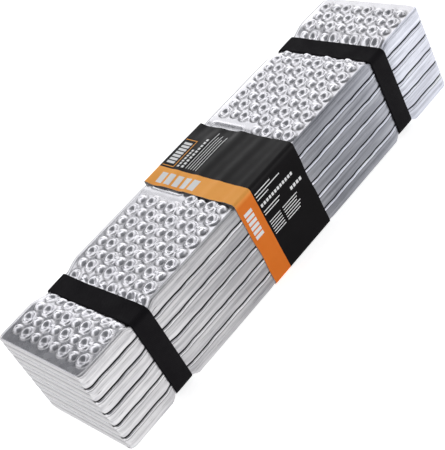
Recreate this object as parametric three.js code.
// Folding foam sleeping pad, folded up like an accordion and held by two elastic straps and a card sleeve.
// Millimetres. +X runs along the pack, +Y across it, +Z up; the origin is under the middle of the pack.
//
// The pad is one sheet of closed-cell foam with aluminium film on one face, creased into twelve panels.
// Panel 1 lies at the bottom and panel 12 on top. Even panels carry their film on top and odd panels
// underneath, so foam meets foam at the odd interfaces and film meets film at the even ones.
// Folds at odd interfaces hinge along the -Y side, where the film wraps the panel walls, and folds at
// even interfaces hinge along the +Y side, where the walls are bare foam.

import * as THREE from "three";

// ---- Driving dimensions ----

const PANELS = 12;
const LENGTH = 570; // width of the pad, which is the length of the folded pack
const HALF_WIDTH = 72; // half of one panel, wall to wall
const PITCH = 9.6; // thickness of one panel in the stack, with its clearances

const GAP = 0.3; // clearance between touching pieces
const HALF_GAP = GAP / 2;
const FILM = 0.4; // aluminium film
const FOAM_INSET = FILM + GAP; // from the film's outer face to the foam behind it

const OUTER_CORNER = 3.5; // chamfer of the top and bottom panel's outward edges
const INNER_CORNER = 1.5; // chamfer of the wrapped edge inside the stack
const FOAM_CORNER = 0.8; // chamfer where foam meets foam
const CREASE_CORNER = 1.4; // chamfer of the foam beside a film crease

const CREASE_HALF_HEIGHT = 0.9; // the thin web that joins two panels at a fold
const CREASE_SIDE_INSET = 0.1; // how far the +Y web lies inside the foam wall

const END_CORNER = 6; // plan corner of each panel, along the pack
const END_CORNER_INSET = 4; // and across it

const STRAP_WIDTH = 25;
const STRAP_THICKNESS = 1.4;
const STRAP_CLEARANCE = 0.4;
const STRAP_CORNER = 4; // inner radius where the strap turns round the pack
const STRAP_DIP = 6; // how deep each strap presses into the top and the bottom
const STRAPS = [
  { name: "near", x: -201 },
  { name: "far", x: 201 },
];
const TACK = { length: 12, width: 21, thickness: 0.6 };

const SLEEVE_X = -1.5;
const SLEEVE_WIDTH = 98;
const SLEEVE_THICKNESS = 0.4;
const SLEEVE_CLEARANCE = 0.3;
const SLEEVE_CORNER = 4;
const SLEEVE_DIP = 1;

// How much of the squeeze reaches each interface, counted inwards from the top or the bottom.
const SQUEEZE_SHARES = [1, 0.4];

// Offsets from a strap's or the sleeve's middle at which the pack's squeeze changes.
const STRAP_SQUEEZE = [
  { offset: STRAP_WIDTH / 2 + 0.5, share: 1 },
  { offset: 24, share: 0.5 },
  { offset: 42, share: 0 },
];
const SLEEVE_SQUEEZE = [
  { offset: SLEEVE_WIDTH / 2 + 0.4, share: 1 },
  { offset: SLEEVE_WIDTH / 2 + 8, share: 0 },
];

const HEIGHT = PANELS * PITCH;
const CORNER_ARC_STEPS = 3;

// ---- Materials ----

const MATERIALS = {
  foam: new THREE.MeshStandardMaterial({ color: 0xe9e9ec, roughness: 0.9, metalness: 0 }),
  film: new THREE.MeshStandardMaterial({ color: 0xc9cbd2, roughness: 0.32, metalness: 0.9 }),
  elastic: new THREE.MeshStandardMaterial({ color: 0x151318, roughness: 0.85, metalness: 0 }),
  thread: new THREE.MeshStandardMaterial({ color: 0x24222a, roughness: 0.8, metalness: 0 }),
  card: new THREE.MeshStandardMaterial({ color: 0x0b0b0d, roughness: 0.45, metalness: 0 }),
};

// ---- The pack's shape along X ----

const mirrored = (steps, middle, depth) =>
  [-1, 1].flatMap((side) =>
    steps.map(({ offset, share }) => ({ x: middle + side * offset, dip: depth * share })),
  );

// The stations that a long piece is swept through. The sides draw in at the ends for the rounded
// plan corners, and the outer panels also follow the squeeze of the straps and the sleeve.
const END_STATIONS = [-1, 1].flatMap((side) => [
  { x: (side * LENGTH) / 2, dip: 0, inset: END_CORNER_INSET },
  { x: side * (LENGTH / 2 - END_CORNER), dip: 0 },
]);
const SQUEEZE_STATIONS = [
  ...STRAPS.flatMap((strap) => mirrored(STRAP_SQUEEZE, strap.x, STRAP_DIP)),
  ...mirrored(SLEEVE_SQUEEZE, SLEEVE_X, SLEEVE_DIP),
];

// Interface i is 0 at the pack's underside and PANELS at its top.
const squeezeShare = (i) => SQUEEZE_SHARES[Math.min(i, PANELS - i)] ?? 0;

const interfaceHeight = (i, station) => {
  const inwards = i < PANELS / 2 ? 1 : -1;
  return i * PITCH - HALF_GAP + inwards * squeezeShare(i) * station.dip;
};

const stationsFor = (...interfaces) => {
  const squeezed = interfaces.some((i) => squeezeShare(i) > 0);
  return [...END_STATIONS, ...(squeezed ? SQUEEZE_STATIONS : [])].sort((a, b) => a.x - b.x);
};

// ---- Geometry helpers ----

// A closed solid swept along X. sectionAt(station) gives the same number of [y, z] points at every
// station, counter-clockwise when seen from +X.
function sweep(stations, sectionAt) {
  const rings = stations.map((station) => {
    const squeeze = 1 - (station.inset ?? 0) / HALF_WIDTH;
    return sectionAt(station).map(([y, z]) => [station.x, y * squeeze, z]);
  });
  const count = rings[0].length;
  const last = rings.length - 1;
  const positions = rings.flat(2);
  const indices = [];
  for (let i = 0; i < last; i++) {
    for (let j = 0; j < count; j++) {
      const a = i * count + j;
      const b = i * count + ((j + 1) % count);
      indices.push(a, b, b + count, a, b + count, a + count);
    }
  }
  const outline = rings[0].map(([, y, z]) => new THREE.Vector2(y, z));
  for (const [a, b, c] of THREE.ShapeUtils.triangulateShape(outline, [])) {
    const end = last * count;
    indices.push(a, c, b, end + a, end + b, end + c);
  }
  const geometry = new THREE.BufferGeometry();
  geometry.setAttribute("position", new THREE.Float32BufferAttribute(positions, 3));
  geometry.setIndex(indices);
  geometry.computeVertexNormals();
  return geometry;
}

// A flat band bent into a closed loop round the pack: an extruded frame with rounded corners.
function loop({ width, thickness, halfWidth, low, high, corner }) {
  const path = (PathClass, grow) =>
    roundedRectangle(new PathClass(), halfWidth + grow, low - grow, high + grow, corner + grow);
  const outer = path(THREE.Shape, thickness);
  outer.holes.push(path(THREE.Path, 0));
  const geometry = new THREE.ExtrudeGeometry(outer, {
    depth: width,
    bevelEnabled: false,
    curveSegments: CORNER_ARC_STEPS,
  });
  // The shape's X and Y become the part's Y and Z, and the extrusion runs along X.
  const basis = new THREE.Matrix4().set(0, 0, 1, -width / 2, 1, 0, 0, 0, 0, 1, 0, 0, 0, 0, 0, 1);
  return geometry.applyMatrix4(basis);
}

function roundedRectangle(path, halfWidth, low, high, radius) {
  const quarter = Math.PI / 2;
  path.moveTo(-halfWidth + radius, low);
  path.absarc(halfWidth - radius, low + radius, radius, -quarter, 0, false);
  path.absarc(halfWidth - radius, high - radius, radius, 0, quarter, false);
  path.absarc(-halfWidth + radius, high - radius, radius, quarter, 2 * quarter, false);
  path.absarc(-halfWidth + radius, low + radius, radius, 2 * quarter, 3 * quarter, false);
  return path;
}

const part = new THREE.Group();

function add(name, geometry, material, x = 0) {
  const mesh = new THREE.Mesh(geometry, material);
  mesh.name = name;
  mesh.position.x = x;
  part.add(mesh);
}

// ---- Panels ----

// Turns points given as [y, depth below the film face] into a counter-clockwise [y, z] section.
function panelSection(k, points) {
  const filmUp = k % 2 === 0;
  return (station) => {
    const low = interfaceHeight(k - 1, station);
    const high = interfaceHeight(k, station);
    const thickness = high - low;
    const section = points(thickness).map(([y, depth]) => [y, filmUp ? high - depth : low + depth]);
    return filmUp ? section : section.reverse();
  };
}

// Shift of a 45 degree corner's ends when its outline is offset inwards by t.
const cornerShift = (t) => t * (Math.SQRT2 - 1);

const isOutermost = (k) => k === 1 || k === PANELS;
const wrappedCorner = (k) => (isOutermost(k) ? OUTER_CORNER : INNER_CORNER);
const bareCorner = (k) => (isOutermost(k) ? OUTER_CORNER : CREASE_CORNER);

function foamPoints(k) {
  const wall = -HALF_WIDTH + FOAM_INSET;
  const face = HALF_GAP + FOAM_INSET;
  const shift = wrappedCorner(k) + cornerShift(FOAM_INSET);
  const bare = bareCorner(k);
  return (thickness) => {
    const back = thickness - HALF_GAP;
    return [
      [wall, back - FOAM_CORNER],
      [wall + FOAM_CORNER, back],
      [HALF_WIDTH - FOAM_CORNER, back],
      [HALF_WIDTH, back - FOAM_CORNER],
      [HALF_WIDTH, face + bare],
      [HALF_WIDTH - bare, face],
      [-HALF_WIDTH + shift, face],
      [wall, HALF_GAP + shift],
    ];
  };
}

// The film covers the panel's face and its -Y wall, down to the crease.
function filmPoints(k) {
  const end = HALF_WIDTH - bareCorner(k);
  const corner = wrappedCorner(k);
  const shift = corner + cornerShift(FILM);
  return (thickness) => {
    const foot = thickness - CREASE_HALF_HEIGHT - GAP;
    return [
      [end, HALF_GAP],
      [-HALF_WIDTH + corner, HALF_GAP],
      [-HALF_WIDTH, HALF_GAP + corner],
      [-HALF_WIDTH, foot],
      [-HALF_WIDTH + FILM, foot],
      [-HALF_WIDTH + FILM, HALF_GAP + shift],
      [-HALF_WIDTH + shift, HALF_GAP + FILM],
      [end, HALF_GAP + FILM],
    ];
  };
}

for (let k = 1; k <= PANELS; k++) {
  const number = String(k).padStart(2, "0");
  const stations = stationsFor(k - 1, k);
  const foam = sweep(stations, panelSection(k, foamPoints(k)));
  const film = sweep(stations, panelSection(k, filmPoints(k)));
  add(`foam_panel_${number}`, foam, MATERIALS.foam);
  add(`film_facing_${number}`, film, MATERIALS.film);
}

// ---- Fold creases: the thin webs between neighbouring panels ----

for (let i = 1; i < PANELS; i++) {
  const onWrappedSide = i % 2 === 1;
  const low = onWrappedSide ? -HALF_WIDTH : HALF_WIDTH - CREASE_SIDE_INSET - FILM;
  const high = low + FILM;
  const section = (station) => {
    const middle = interfaceHeight(i, station);
    return [
      [low, middle - CREASE_HALF_HEIGHT],
      [high, middle - CREASE_HALF_HEIGHT],
      [high, middle + CREASE_HALF_HEIGHT],
      [low, middle + CREASE_HALF_HEIGHT],
    ];
  };
  const material = onWrappedSide ? MATERIALS.film : MATERIALS.foam;
  add(`fold_crease_${String(i).padStart(2, "0")}`, sweep(stationsFor(i), section), material);
}

// ---- Elastic straps, each sewn into a loop with a bar tack underneath ----

for (const strap of STRAPS) {
  const low = STRAP_DIP - STRAP_CLEARANCE;
  const geometry = loop({
    width: STRAP_WIDTH,
    thickness: STRAP_THICKNESS,
    halfWidth: HALF_WIDTH + STRAP_CLEARANCE,
    low,
    high: HEIGHT - GAP - low,
    corner: STRAP_CORNER,
  });
  add(`elastic_strap_${strap.name}`, geometry, MATERIALS.elastic, strap.x);
  const tack = new THREE.BoxGeometry(TACK.width, TACK.length, TACK.thickness);
  tack.translate(0, 0, low - STRAP_THICKNESS - GAP - TACK.thickness / 2);
  add(`strap_tack_${strap.name}`, tack, MATERIALS.thread, strap.x);
}

// ---- Card sleeve ----

const sleeveLow = SLEEVE_DIP - SLEEVE_CLEARANCE;
const sleeve = loop({
  width: SLEEVE_WIDTH,
  thickness: SLEEVE_THICKNESS,
  halfWidth: HALF_WIDTH + SLEEVE_CLEARANCE,
  low: sleeveLow,
  high: HEIGHT - GAP - sleeveLow,
  corner: SLEEVE_CORNER,
});
add("card_sleeve", sleeve, MATERIALS.card, SLEEVE_X);

export default part;
